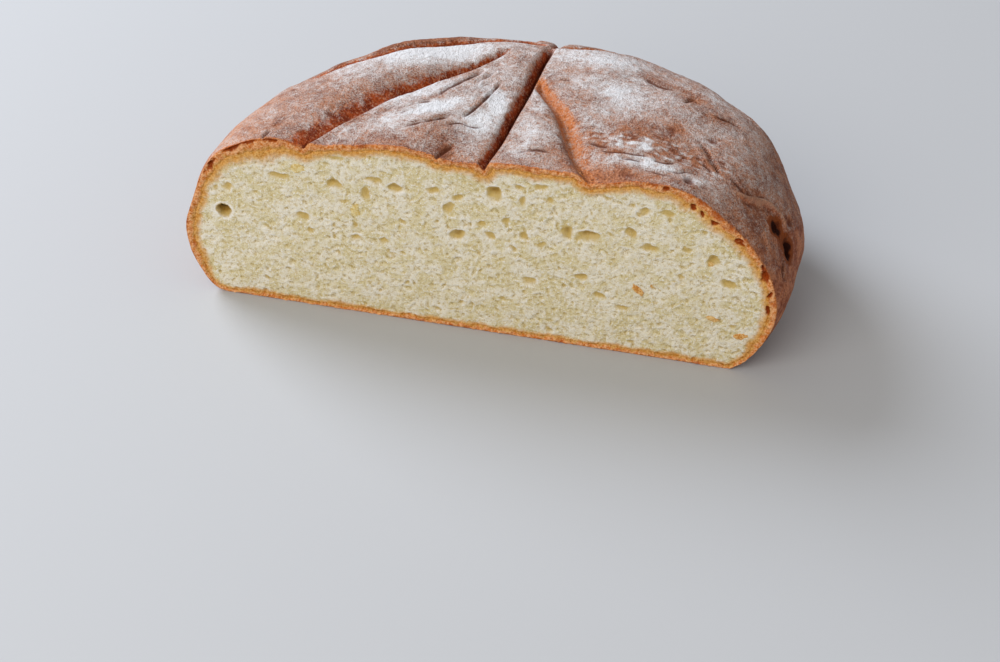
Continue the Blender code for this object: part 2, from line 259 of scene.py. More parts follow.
# %% Marks in the crust
DENTS = [  # x, back, z, radius, depth
    (4, 101, 82, 13, 2.6), (-98, 60, 55, 9, 1.2), (92, 88, 45, 9, 1.2), (70, 68, 80, 6, 1),
    (-66, 8, 78, 4, 0.6), (-20, 22, 83, 4.5, 0.8), (-10, 50, 83, 4, 0.8), (-17, 4, 80, 4, 0.7),
    (-50, 0, 80, 14, 1.6), (-30, -2, 82, 14, 1.2), (-16, 0, 81, 9, 2.2), (-6, 0, 80, 6, 1.7),
    (48, 0, 80, 9, 1.4), (75.9, 8, 79, 1.8, 1.6), (-66.3, 19.9, 79, 1.1, 1.6),
    (106.8, 44.4, 63, 2.4, 0.9), (65.2, 39.2, 82, 2.4, 0.6), (81.1, 39.8, 79, 2.4, 0.6),
    (104, 21, 62, 7, 1), (115, 15, 50, 9, 1.2), (-64.5, -2, 80, 6, 2), (115.3, 29.5, 53, 2, 1),
]
BULGES = [(116, 4, 36, 20, -1.9), (-106, 2, 66, 13, -1.2), (71, 0, 81, 8, -1.4), (88, 2, 70, 8, 1.1)]
BLISTERS = [  # a row of burst blisters, deepest at its two ends
    (109, 19.8, 56.2, 2.3, 3.4), (110.8, 20.6, 53.6, 1.9, 1.5), (112.2, 20.8, 51.2, 2.2, 1.3),
    (113.4, 20.6, 48.6, 2, 1.3), (115.6, 22.2, 48, 1.6, 2.4), (116.2, 21, 44.6, 2.2, 3.6),
]
SPOTS = [  # x, back, z, radius, strength of small scorched spots
    (65.2, 39.2, 81, 2.2, 0.9), (81.1, 39.8, 78, 2.2, 0.8), (49.1, 31.5, 83, 3.4, 0.4),
    (54.9, 36.8, 83, 3, 0.4), (-66.3, 19.9, 79, 1.3, 1.2), (75.9, 8, 79, 2.4, 1.1),
    (115.3, 29.5, 53, 2.2, 1.1), (106.8, 45.9, 62, 2.4, 0.6), (94.3, 39.9, 74, 3, 0.4),
    (85.7, 61.9, 76, 2, 0.7), (-87.4, 41.1, 74, 1.6, 0.8), (-15.3, 14.4, 82, 3, 0.5),
    (-23.4, 10.5, 83, 3.2, 0.4), (-56.8, 2.6, 79, 1.8, 0.7), (-17, 3, 80, 3, 0.6),
]
SWELLS = [  # wave length, direction, phase, height
    (74, 0.4, 0.3, 0.55), (53, 1.9, 1.1, 0.45), (38, 2.8, 2, 0.35), (27, 0.9, 0.5, 0.25),
]
WRINKLES = [  # depth, width, points (x, back)
    (1.1, 0.6, [(-4.6, 61), (-7, 52), (-8.9, 42.5), (-11.4, 33.5), (-15.2, 25), (-17, 22)]),
    (1, 0.8, [(-18.5, 26.3), (-21.8, 22.6), (-25.2, 18.6), (-30.2, 15.8), (-36.9, 12)]),
    (1.1, 0.7, [(-20.5, 17), (-16.8, 21), (-14.1, 21.9), (-10.9, 21.4), (-7.9, 21.8), (-4.4, 24)]),
    (1, 1, [(-12.8, 69), (-16.2, 61.5), (-21, 53.1), (-25.1, 45.9), (-28.3, 38.7), (-32, 32.6)]),
    (0.7, 0.8, [(-9.5, 65), (-12.7, 58.3), (-16.2, 52)]),
    (0.6, 0.9, [(-30, 29.5), (-35.9, 25), (-41, 20.3)]),
    (0.6, 0.9, [(-27, 35.5), (-31, 32.8), (-35.2, 28.9), (-41, 25)]),
    (0.5, 1.1, [(-36, 35), (-43, 27), (-50, 17)]),
    (1.3, 0.7, [(-13.4, 9.6), (-15.8, 6.5), (-18.6, 2), (-20.5, -3)]),
    (1.2, 0.8, [(34.5, 24), (40, 21.2), (45, 19.9)]),
    (1.4, 0.7, [(37.5, 19.6), (45.2, 17.6), (50.2, 17.2), (55.3, 16.9), (61.5, 17.9)]),
    (0.8, 0.8, [(47, 13.6), (54, 13.9), (60, 12.8)]),
    (1.1, 0.7, [(60.5, 16), (65.5, 15.2), (70.2, 17.8)]),
    (1.1, 0.7, [(64.5, 11.8), (70.8, 10.9), (75, 13.7), (81.2, 13.9)]),
    (0.8, 0.8, [(58, 9), (66, 7.6), (72, 8.6)]),
    (1.2, 0.6, [(75.4, 38), (78.7, 34), (81.7, 29.3), (84.8, 23.7), (87.4, 17.6)]),
    (-0.7, 0.8, [(74.4, 35), (77.6, 30.5), (80.5, 25.8), (83, 20.5)]),
    (1.2, 0.7, [(91, 20.4), (94.1, 18.9), (97.2, 18)]),
    (0.9, 0.7, [(78.6, 23.8), (81.9, 21.2), (84.4, 18)]),
    (0.9, 0.8, [(66.6, 58), (69, 66), (72.5, 72)]),
    (0.9, 1, [(78, 60), (82.8, 58.3), (87.2, 59.3), (92, 57)]),
    (0.9, 1.3, [(47, 78), (57.3, 71.5), (65, 74)]),
    (-2, 0.8, [(90, 12.6), (99.3, 17.2), (104.8, 23), (108.9, 25.1), (112.5, 25.4), (114.9, 23.5),
               (117.6, 21.5)]),
    (-1, 0.8, [(102.6, 10.8), (106.1, 10.6), (108.6, 9), (111.8, 8)]),
    (1.2, 0.7, [(115, 16.5), (115.4, 11.1), (115.6, 7.6)]),
    (0.8, 1, [(7.3, 7.7), (15.5, 11.2), (26.2, 12)]),
    (-0.6, 0.8, [(36.4, 7), (39.4, 9.8), (42.8, 11.6)]),
    (1, 0.8, [(15.7, 63), (21.6, 63.8)]),
    (0.9, 0.6, [(-85.4, 7), (-86.6, 4.6), (-87.6, 2.2), (-88.4, -1)]),
    (1, 0.9, [(-66, 101), (-50, 108), (-37, 106)]),
    (1, 1, [(22, 128), (38, 133), (58, 131)]),
    (1.2, 0.8, [(84, 86), (92, 78), (97, 69)]),
]
PIMPLES = [(9, 0.3), (3.4, 0.17), (1.9, 0.1)]  # size, height
SWELL_RISE = 0.6  # how far a wave leans with the height
WRINKLE_ENDS = 0.3  # share of a wrinkle's length in which each end fades
LIP_PLACE, LIP_WIDTH, LIP_HEIGHT = 2.2, 1.3, 0.3  # the low lips beside a wrinkle, in its own widths
WRINKLE_MEAN, WRINKLE_CHANGE = 0.85, [(0.7, 4.5, 13)]


# %% Noise, dents, swells and wrinkles
def grain(spots, size, seed):
    """Smooth noise from -1 to 1, with lumps of about the given size."""
    shift = Vector((seed, 2.3 * seed, 5.1 * seed))
    return np.array([noise.noise(Vector(spot) / size + shift) for spot in spots.tolist()])


def grains(spots, rows):
    """Noise of several sizes added up, from rows of (strength, size, seed)."""
    return sum(strength * grain(spots, size, seed) for strength, size, seed in rows)


def mark_push(marks, spots):
    """How far the round marks move the skin outward; a bulge has a negative depth."""
    push = np.zeros(len(spots))
    for x, back, z, radius, depth in marks:
        gap = spots - np.array([x, back + CUT, z])
        push -= depth * np.exp(-(gap ** 2).sum(axis=1) / radius ** 2)
    return push


def swell_push(spots):
    """Long low waves, because no dough rises evenly."""
    push = np.zeros(len(spots))
    for length, direction, phase, height in SWELLS:
        reach = spots @ np.array([math.cos(direction), math.sin(direction), SWELL_RISE])
        push += height * np.sin(2 * math.pi * reach / length + phase)
    return push * smooth_step(0, LOW_AND_HIGH[1], spots[:, 2])


def wrinkle_push(spots):
    """Narrow grooves between two low lips; a ridge has a negative depth."""
    places = from_cut(spots)
    push = np.zeros(len(spots))
    for depth, width, points in WRINKLES:
        distance, outward, reach = along_route(smooth_route(points, 24), places)
        ends = WRINKLE_ENDS * reach
        fade = smooth_step(0, ends, outward) * smooth_step(reach, reach - ends, outward)
        lips = np.exp(-((np.abs(distance) - LIP_PLACE * width) / (LIP_WIDTH * width)) ** 2)
        push += depth * fade * (LIP_HEIGHT * lips - np.exp(-(distance / width) ** 2))
    uneven = WRINKLE_MEAN + grains(spots, WRINKLE_CHANGE)
    return push * uneven * smooth_step(*LOW_AND_HIGH, spots[:, 2])


# %% [markdown]
# ## The skin
# The dome is made in rings of points, so that the triangles are all about as large as the finest
# wrinkle is wide.  Each point then moves along the skin's own normal by the sum of all marks.

# %% Skin of the dome
BEYOND_CUT = 8  # this far in front of the cut the pimples are left out, to save time
FOOT_STILL = (-1, 3)  # marks fade out between these heights, so that the underside stays flat


def zip_loops(first, first_run, second, second_run):
    """Triangles between two loops of points, in step with their runs."""
    faces = []
    a, b = (1 if len(first) == 1 else 0), 0
    while a < len(first) or b < len(second):
        here_a, here_b = first[a % len(first)], second[b % len(second)]
        next_a = first_run[a + 1] if a + 1 < len(first) else math.inf
        next_b = second_run[b + 1] if b + 1 < len(second) else math.inf
        if b == len(second) or (a < len(first) and next_a <= next_b):
            a += 1
            faces.append((here_a, here_b, first[a % len(first)]))
        else:
            b += 1
            faces.append((here_a, here_b, second[b % len(second)]))
    return faces


def plain_dome():
    """The smooth dome in rings from the crown down, closed by its underside."""
    spots = [np.array([[0, 0, CROWN_HEIGHT]])]
    ring, run, faces = range(1), [0], []
    for share, height in list(zip(*side_profile()))[1:]:
        count = max(6, round(2 * math.pi * share * MEAN_RADIUS / skin_step(height)))
        angle = 2 * math.pi * np.arange(count) / count
        radius = share * belly_radius(angle)
        ring_spots = [radius * np.cos(angle), radius * np.sin(angle), np.full(count, height)]
        spots.append(np.column_stack(ring_spots))
        inner, inner_run = ring, run
        ring, run = range(inner[-1] + 1, inner[-1] + 1 + count), [k / count for k in range(count)]
        faces += zip_loops(inner, inner_run, ring, run)
    faces.append(tuple(reversed(ring)))
    return np.vstack(spots), faces


def skin_form():
    """The creased skin, cut off flat in front, as an open bmesh."""
    spots, faces = plain_dome()
    mesh = bpy.data.meshes.new("skin")
    mesh.from_pydata(spots.tolist(), [], faces)
    normals = np.empty(3 * len(spots))
    mesh.vertex_normals.foreach_get("vector", normals)
    normals = normals.reshape(-1, 3)
    push = mark_push(DENTS + BULGES + BLISTERS, spots) + swell_push(spots) + wrinkle_push(spots)
    deepest = np.zeros(len(spots))
    for crease in CREASES:
        sunk, lifted, wall, crack = crease_shape(crease, spots)
        deepest = np.maximum(deepest, sunk)
        push += lifted
    push -= deepest
    kept = spots[:, 1] > CUT - BEYOND_CUT
    for size, height in PIMPLES:
        push[kept] += height * grain(spots[kept], size, size)
    push *= smooth_step(*FOOT_STILL, spots[:, 2])
    mesh.vertices.foreach_set("co", (spots + normals * push[:, None]).ravel())
    mesh.update()
    form = bmesh.new()
    form.from_mesh(mesh)
    bpy.data.meshes.remove(mesh)
    everything = form.verts[:] + form.edges[:] + form.faces[:]
    bmesh.ops.bisect_plane(form, geom=everything, dist=1e-4, plane_co=(0, CUT, 0),
                           plane_no=(0, -1, 0), clear_outer=True)
    return form


skin = skin_form()
print("points in the skin:", len(skin.verts))

# %% [markdown]
# ## The rim of the cut
# Everything on the cut face is measured from its rim: how brown the crust's section is, how dense
# the crumb, how far the torn edge stands out.  The open edge of the skin gives the rim as a loop
# of points.  Even stations along it, each with its direction inward, are easier to build on.

# %% Stations along the rim
RIM_STEP = 0.42
TURN_SPREAD = 3  # the direction inward is a mean over this far each way


def rim_points(form):
    """The open edge of the skin as one ordered loop of its points."""
    follow = {}
    for edge in (edge for edge in form.edges if edge.is_boundary):
        for here, there in (edge.verts, reversed(edge.verts)):
            follow.setdefault(here, []).append(there)
    start = min(follow, key=lambda point: (point.co.z, point.co.x))
    loop, last = [start], None
    while True:
        onward = [point for point in follow[loop[-1]] if point is not last]
        last = loop[-1]
        if onward[0] is start:
            return loop
        loop.append(onward[0])


def even_stations(outline, step):
    """Points at even steps along a closed outline, and the run of the outline's own points."""
    closed = np.vstack([outline, outline[:1]])
    run = np.concatenate([[0], np.cumsum(np.hypot(*np.diff(closed, axis=0).T))])
    places = np.linspace(0, run[-1], int(run[-1] / step), endpoint=False)
    stations = np.column_stack([np.interp(places, run, closed[:, k]) for k in (0, 1)])
    return stations, places, run[:-1]


def spread(values, reach, axis=0):
    """Running mean round a loop, over a number of places each way."""
    return sum(np.roll(values, k, axis=axis) for k in range(-reach, reach + 1)) / (2 * reach + 1)


rim_loop = rim_points(skin)
outline = np.array([(point.co.x, point.co.z) for point in rim_loop])
stations, station_run, outline_run = even_stations(outline, RIM_STEP)
ahead = np.roll(stations, -1, axis=0) - np.roll(stations, 1, axis=0)
after = np.roll(stations, -1, axis=0)
area = 0.5 * np.sum(stations[:, 0] * after[:, 1] - stations[:, 1] * after[:, 0])
inward = spread(np.column_stack([-ahead[:, 1], ahead[:, 0]]) * np.sign(area), int(TURN_SPREAD / RIM_STEP))
inward /= np.linalg.norm(inward, axis=1)[:, None]
print("rim, mm:", round(station_run[-1]), "stations:", len(stations), "cut, cm2:", round(abs(area) / 100))

# %% [markdown]
# ## Holes in the crumb
# Bread is a foam: gas stretched thousands of cells in the dough, and the knife opened them.  Most
# are smaller than a millimetre, some are as large as a pea.  Solid bubbles could be cut out one by
# one, but a depth for each point of a fine grid gives the same look in a second, and the same grid
# serves the crumb and the torn crust round it.

# %% Grid over the cut face
CRUMB_STEP = 0.45
CRUMB_LEVEL = 0.45  # the crumb's mean depth behind the cut
SEED = 14
draw = np.random.default_rng(SEED)
low, high = stations.min(axis=0), stations.max(axis=0)
across = np.arange(low[0] - 1, high[0] + 1, CRUMB_STEP)
up = np.arange(low[1] - 1, high[1] + 1, CRUMB_STEP)
grid_x, grid_z = np.meshgrid(across, up)
face_spots = np.column_stack([grid_x.ravel(), np.zeros(grid_x.size), grid_z.ravel()])


def face_grains(*rows):
    return grains(face_spots, rows).reshape(grid_x.shape)


# %% One hole
ROOF_SHARE, ROOF_EDGE, ROOF_POWER = 0.4, 0.35, 1.3
warp_x, warp_z = (face_grains((1.5, 3.4, seed), (0.45, 1.3, seed)) for seed in (11, 12))


def turned(dx, dy, angle):
    """Offsets as seen along and beside a direction."""
    c, s = math.cos(angle), math.sin(angle)
    return dx * c + dy * s, dy * c - dx * s


def stamp(layer, x, z, width, height, turn, deep, power):
    """Presses one uneven hole into a layer's depths, deepest under its roof, and marks that roof for painted
    shade.
    """
    depth, roof = layer
    reach = 0.9 * max(width, height) + 1
    columns = slice(*np.searchsorted(across, [x - reach, x + reach]))
    rows = slice(*np.searchsorted(up, [z - reach, z + reach]))
    dx = across[columns][None, :] - x + warp_x[rows, columns]
    dz = up[rows][:, None] - z + warp_z[rows, columns]
    along, beside = turned(dx, dz, turn)
    along, beside = along / (0.5 * width), beside / (0.5 * height)
    inside = np.clip(1 - along ** 2 - beside ** 2, 0, 1)
    upper = np.clip(0.5 + 0.5 * beside, 0, 1)
    pressed = deep * inside ** (power * (1.5 - upper)) * (ROOF_SHARE + upper)
    shaded = smooth_step(0, ROOF_EDGE, inside) * upper ** ROOF_POWER
    depth[rows, columns] = np.maximum(depth[rows, columns], pressed)
    roof[rows, columns] = np.maximum(roof[rows, columns], shaded)


TILT, TILT_BAND = math.radians(38), (60, 118)


def cell_tilt(x):
    """Cells lie flat in the middle of the loaf and follow the crust at its ends."""
    return -TILT * np.sign(x) * smooth_step(*TILT_BAND, abs(x))


# %% Cells and pores
PORES = [  # x, z, width, height, as the knife left them
    (-103, 51, 4.7, 2.6), (-92, 51, 3.7, 1.9), (-82, 60, 7, 2.9),
    (-73, 42, 5.8, 3.2), (-60, 60, 4.7, 4.5), (-56, 53, 4.2, 1.9), (-47.5, 57, 3.2, 5.2),
    (-44, 64.5, 7.4, 2.6), (-35.4, 62, 4.2, 4.4), (-51, 35.5, 4.7, 2.9), (-40, 36, 3.2, 2.6),
    (-20, 63.5, 5.8, 3.2), (-14, 56, 3.2, 5.6), (-10.5, 44, 5.3, 4.4), (3.5, 66, 5.3, 6.4),
    (13, 71, 3.7, 2.8), (14, 64.5, 2.6, 4.6), (21, 72.5, 4.2, 2.4), (15, 49, 3.2, 3.2),
    (8.3, 53.5, 2.6, 4.2), (2.5, 46.5, 3.2, 3.6), (32.5, 52.5, 4.2, 4.8), (41, 53, 7.9, 4.6),
    (22.6, 45.5, 4.7, 2.2), (18.7, 27.5, 5.8, 2.4), (39.4, 33, 4.7, 3.6), (46.4, 25.5, 5, 2.8),
    (46.5, 72, 5, 1.6), (51.5, 70.4, 5, 1.3), (57, 57, 3.7, 4.2), (65, 52, 6.3, 3.2),
    (62, 68.5, 3.7, 3),
    (70, 68.5, 5.6, 2.2), (79, 53.5, 3.7, 2), (89, 49.5, 4.7, 4.2), (96, 40, 6.8, 3.6),
    (77, 40, 3.2, 2), (56, 21, 5.8, 2.4),
    (-0.5, 51, 2.6, 2.9), (-14, 47.5, 2.1, 1.9), (-32.4, 47, 2.6, 2.2), (6.3, 36.3, 2.1, 1.9),
    (25, 66.3, 2.6, 3.2), (-10.6, 62, 4.2, 3.2), (-52, 42.2, 2.1, 3.8), (83.5, 62.4, 2.1, 2.6),
    (103.5, 27, 1.4, 3.2), (-77.5, 71.3, 3.7, 1.6), (-59, 72.5, 5.8, 2.2),
]
DEEP_HOLES = [  # x, z, width, height, turn in degrees, depth: torn open between crust and crumb
    (109.2, 47.7, 2.8, 11, 12, 2.6), (112.2, 30.8, 2.3, 6, -4, 2.4),
    (79.4, 73.4, 3.4, 2.2, -30, 2), (82.6, 71, 3.4, 1.8, -50, 1.8), (88, 68, 4.4, 1.8, -38, 1.4),
    (98.2, 60.6, 4.4, 2.4, -50, 1.8),
    (68.9, 79.9, 4.2, 2.2, -12, 1.8), (-97, 72.2, 17, 2, 30, 2), (-84, 76.6, 12, 1.3, 4, 1.5),
    (-109.5, 60.5, 11, 1.8, 58, 1.6), (112.6, 38, 6, 1.8, 80, 1.6),
]
ROUND_HOLE = (-105, 40, 5, 7.4, 0.6, 5)  # x, z, width, height, turn, depth
PORE_SPREAD = 1.45  # the warp eats into a hole's edge, so it is stamped this much larger
PORE_DEPTH = 0.34  # against the smaller side
CELL_AREA = 1.3
SMALL_PORES = 260
TEAR_MEAN, TEAR_CHANGE, TEAR_MOST = 0.9, (1, 1.4, 21), 1.2


def draw_holes(layer, sizes, leans, deep_share, power):
    """Stamps seeded holes all over the cut face."""
    places_x, places_z = (draw.uniform(low[k], high[k], len(sizes)) for k in (0, 1))
    stretches = draw.uniform(1, 1.7, len(sizes))
    for x, z, size, stretch, lean in zip(places_x, places_z, sizes, stretches, leans):
        stamp(layer, x, z, size * stretch, size, cell_tilt(x) + lean, deep_share * size, power)


count = int((high - low).prod() / CELL_AREA)
cells, pores, tears = (np.zeros((2, *grid_x.shape)) for _ in range(3))  # depth and roof of each kind
draw_holes(cells, draw.lognormal(0, 0.4, count), draw.normal(0, 0.6, count), 0.2, 1.2)
sizes = draw.uniform(1.3, 2.7, SMALL_PORES) * draw.uniform(0.7, 1, SMALL_PORES)
draw_holes(pores, sizes, draw.normal(0, 0.4, SMALL_PORES), 0.3, 1.1)
for x, z, width, height in PORES:
    deep = PORE_DEPTH * min(width, height)
    stamp(pores, x, z, PORE_SPREAD * width, PORE_SPREAD * height, 0.4 * cell_tilt(x), deep, 1.4)
stamp(pores, *ROUND_HOLE, 0.5)
for x, z, width, height, turn, deep in DEEP_HOLES:
    stamp(tears, x, z, width, height, math.radians(turn), deep, 0.6)
tears[0] *= np.clip(TEAR_MEAN + face_grains(TEAR_CHANGE), 0, TEAR_MOST)
print("cells:", count, "pores:", SMALL_PORES + len(PORES), "torn holes:", len(DEEP_HOLES))

# %% [markdown]
# ## How deep each point of the cut lies
# Near the rim the crumb was squeezed dense against the crust, so the cells fade there and the torn
# crust gets coarse crags instead.  A pit also looks darker than its depth alone explains, because
# little light reaches its bottom.  The difference between a point's depth and the mean depth round
# it says how sunken it is, and the material uses that.

# %% Depth, distance from the rim, and sunkenness
USUAL_BAND, THINNER_FOOT, BAND_CHANGE = 1.05, 0.45, [(0.35, 8, 3)]
WIDER_BAND = [(-90, 17, 1), (80, 14, 0.5)]  # x, reach, how much wider
SHOULDER, FOOT = (50, 66), (14, 4)  # heights
CRUSTY_BAND = (4.6, 2)  # the crumb gets dense between these distances from the rim
CELLS_CLOSED = 0.75
WAVES = (0.3, 13, 4), (0.12, 3.4, 5), (0.16, 1, 6)
CRAGS = (0.55, 1.7, 7), (0.18, 0.9, 8)
SUNK_REACH, SUNK_UNIT = 3, 0.45


def band_share(spots):
    """How wide the crust's section is against its usual width, at places (x, y, z) of the rim."""
    x, z = spots[:, 0], spots[:, 2]
    share = USUAL_BAND + grains(spots, BAND_CHANGE) - THINNER_FOOT * smooth_step(*FOOT, z)
    for place, reach, more in WIDER_BAND:
        share += more * np.exp(-((x - place) / reach) ** 2) * smooth_step(*SHOULDER, z)
    return share


def box_mean(field, reach):
    """Mean over a square of grid points, a number of them each way."""
    return spread(spread(field, reach), reach, axis=1)


def sample(field, places):
    """Values of a grid at free places (x, z), by the four nearest grid points."""
    column = (places[:, 0] - across[0]) / CRUMB_STEP
    row = (places[:, 1] - up[0]) / CRUMB_STEP
    i, j = column.astype(int), row.astype(int)
    right, above = column - i, row - j
    bottom = field[j, i] * (1 - right) + field[j, i + 1] * right
    top = field[j + 1, i] * (1 - right) + field[j + 1, i + 1] * right
    return bottom * (1 - above) + top * above


finder = kdtree.KDTree(len(stations))
for number, (x, z) in enumerate(stations):
    finder.insert((x, 0, z), number)
finder.balance()
nearest = [finder.find(spot) for spot in face_spots.tolist()]
shares = band_share(np.column_stack([stations[:, 0], np.zeros(len(stations)), stations[:, 1]]))
rim_gap = np.array([distance for place, number, distance in nearest]).reshape(grid_x.shape)
inset = rim_gap / shares[[number for place, number, distance in nearest]].reshape(grid_x.shape)
crusty = smooth_step(*CRUSTY_BAND, inset)
holes = np.maximum(cells[0] * (1 - CELLS_CLOSED * crusty), pores[0])
relief = face_grains(*WAVES) + holes + tears[0] + face_grains(*CRAGS) * crusty
sunken = (relief - box_mean(relief, SUNK_REACH)) / SUNK_UNIT
soft_pores, soft_roofs = box_mean(pores[0], 2), box_mean(pores[1], 1)
print("deepest point of the cut, mm:", round(relief.max(), 1))

# %% [markdown]
# ## The torn edge of the crust
# The knife dragged the hard crust, so its edge is torn and stands a little proud of the soft
# crumb.  Loops of points run in from the rim, each a little lower than the one before, until they
# dive under the crumb.  A pocket behind them closes the crust, and the crumb sits in that pocket.

# %% Torn edge
CUT_LOOPS = [  # distance in from the rim, depth behind the cut plane, mm
    (0.12, 0), (0.5, -0.22), (0.95, -0.2), (1.45, -0.05), (1.95, 0.12), (2.45, 0.36), (3, 0.75),
    (3.7, 2),
]
POCKET_DEPTH = 6.5
ROUGH_FROM = 0.45  # the outermost loop follows the rim, and from here in the edge is as rough as the cut
RAGS = [(0.22, 1), (0.9, 6)]  # strength of the tears along the edge, and their half length in stations


def close_front(form):
    """Adds the torn edge and the pocket behind it, so that the crust is one closed body."""
    loops = []
    ragged = sum(strength * spread(draw.normal(0, 1, len(stations)), reach) for strength, reach in RAGS)
    for distance, depth in CUT_LOOPS:
        places = stations + inward * (distance * shares + ragged * min(1, distance))[:, None]
        back = CUT + depth + sample(relief, places) * smooth_step(0, ROUGH_FROM, distance)
        loops.append([form.verts.new((x, y, z)) for (x, z), y in zip(places, back)])
    floor = CUT + POCKET_DEPTH
    loops.append([form.verts.new((point.co.x, floor, point.co.z)) for point in loops[-1]])
    for corners in zip_loops(rim_loop, outline_run, loops[0], station_run):
        form.faces.new(corners)
    for outer, inner in zip(loops, loops[1:]):
        for here, there in zip(range(len(outer)), [*range(1, len(outer)), 0]):
            form.faces.new((outer[here], inner[here], inner[there], outer[there]))
    form.faces.new(loops[-1])
    bmesh.ops.recalc_face_normals(form, faces=form.faces)
    return loops


band = close_front(skin)
print("open edges left in the crust:", sum(edge.is_boundary for edge in skin.edges))

# %% [markdown]
# ## Where the flour lies
# Flour was sieved over the loaf.  It stayed on what faces up, thick on the backs of the folds, and
# slid off their walls.  The share of flour at each point is stored on the mesh, and the material
# turns it into specks.  A painted mask would not follow the folds when they are moved.

# %% Patches of flour
FLOUR_VEIL = 0.33
FLOUR = [  # x, back, reach in x, reach back, turn in degrees, amount
    (-39, 74, 31, 11, 30, 1.12), (-10, 90, 20, 8, 8, 0.62), (-76, 50, 14, 14, 20, 0.44),
    (-26, 30, 15, 5, 42, 1.18), (-4, 40, 5, 12, 12, 1.05), (-12, 58, 13, 30, -30, 0.62),
    (-36, 42, 24, 7, 42, 0.8), (-8, 26, 10, 10, 0, 0.9), (-12, 12, 12, 8, 0, 0.62),
    (-38, 18, 20, 8, 20, 0.64), (12, 20, 9, 16, 10, 0.66), (12, 46, 5, 14, 10, 0.66),
    (28, 84, 30, 14, -6, 0.76), (42, 58, 22, 14, -25, 0.76), (62, 70, 24, 20, -20, 0.6),
    (52, 22.5, 9, 3.4, 0, 0.88), (62, 12.5, 20, 4, -6, 0.8),
    (66.5, 11.5, 6, 2.4, 0, 0.92), (77, 9.5, 5, 2.6, 0, 0.8), (-7, 21, 5, 2.4, 0, 1.05),
    (82, 12, 10, 6, -20, 0.58), (84, 46, 18, 20, 0, 0.52), (36, 40, 10, 12, 20, 0.6),
    (-48, 114, 30, 16, 25, 0.8), (40, 130, 30, 12, -10, 0.7), (-8, 136, 14, 18, 0, 0.6),
    (80, 102, 18, 18, 0, 0.5), (-82, 86, 16, 16, 0, 0.55),
]
BARE = [  # x, back, reach in x, reach back, turn in degrees, amount
    (-17, 4, 4, 4, 0, 0.3), (54, 33, 14, 5, 10, 0.2), (66, 24, 12, 3.5, 0, 0.18),
    (44, 18, 8, 2, -10, 0.34), (60, 75, 12, 4, -25, 0.34), (65, 39, 4, 3, 0, 0.2),
    (70, 66, 5, 4, 30, 0.3), (30, 48, 6, 4, 30, 0.15), (82, 30, 2.5, 12, -25, 0.18),
    (46, 5, 12, 5, 0, 0.3), (96, 16, 14, 12, 0, 0.16), (82, 57, 6, 3, 0, 0.26),
    (-20, 12, 9, 6, 0, 0.16), (-52, 82.5, 34, 4.5, 32, 0.6),
]
STREAK_OVAL, STREAK_LENGTH, STREAK_SHARE = (60, 24, 26, 8, -4), 0.22, 0.7
FLOUR_CHANGE = [(0.16, 12, 1), (0.14, 4, 2)]
STEEP_SHARE, STEEP = 0.26, (0.2, 0.85)  # how much stays on a steep face, and what counts as steep


def patch(spots, x, back, reach_x, reach_back, turn):
    """A soft oval patch on the crown: 1 in its middle, 0 far from it."""
    dx, dy = from_cut(spots).T - np.array([[x], [back]])
    along, beside = turned(dx, dy, math.radians(turn))
    return np.exp(-0.8 * ((along / reach_x) ** 2 + (beside / reach_back) ** 2))


def streaks(spots):
    """Long narrow noise that runs along the floury ridges beside the cut, 0 elsewhere."""
    narrow = spots * np.array([STREAK_LENGTH, 1, 1])
    return patch(spots, *STREAK_OVAL) * (grain(narrow, 1.5, 9) + 0.9 * grain(spots, 1.9, 10))


def flour_share(spots, normals):
    """How much flour lies at each point: a thin veil, the patches, and bare places."""
    share = np.full(len(spots), FLOUR_VEIL)
    for *oval, amount in FLOUR:
        share = np.maximum(share, FLOUR_VEIL + (amount - FLOUR_VEIL) * patch(spots, *oval))
    for *oval, amount in BARE:
        share -= amount * patch(spots, *oval)
    share += grains(spots, FLOUR_CHANGE) + STREAK_SHARE * streaks(spots)
    return share * (STEEP_SHARE + (1 - STEEP_SHARE) * smooth_step(*STEEP, normals[:, 2]))


# %% Flour, folds and bake as values on the crust's points
LEVEL, RIGHT_SIDE = (0.75, 0.05), (-60, 60)
LEFT_END, LEFT_FRONT = (-80, -108), (60, 0)
TOAST_BAND, TOAST_FADE = (44, 4), 0.65  # a toasted wall loses its outline towards the cut
FRAY, FRAY_WALL, WALL_BAND = [(0.22, 1.8, 15), (0.22, 5, 16)], 0.9, (0.15, 0.6)
RIGHT_BARE = 0.45
BLISTER_REACH, BLISTER_UNIT, BLISTER_CHANGE = 1.4, 6, [(0.9, 2.6, 18)]
WRINKLE_UNIT = 1.2
LINING_POWER, FLOOR_SHARE = 0.6, 0.35
TEAR_UNIT = 1.3


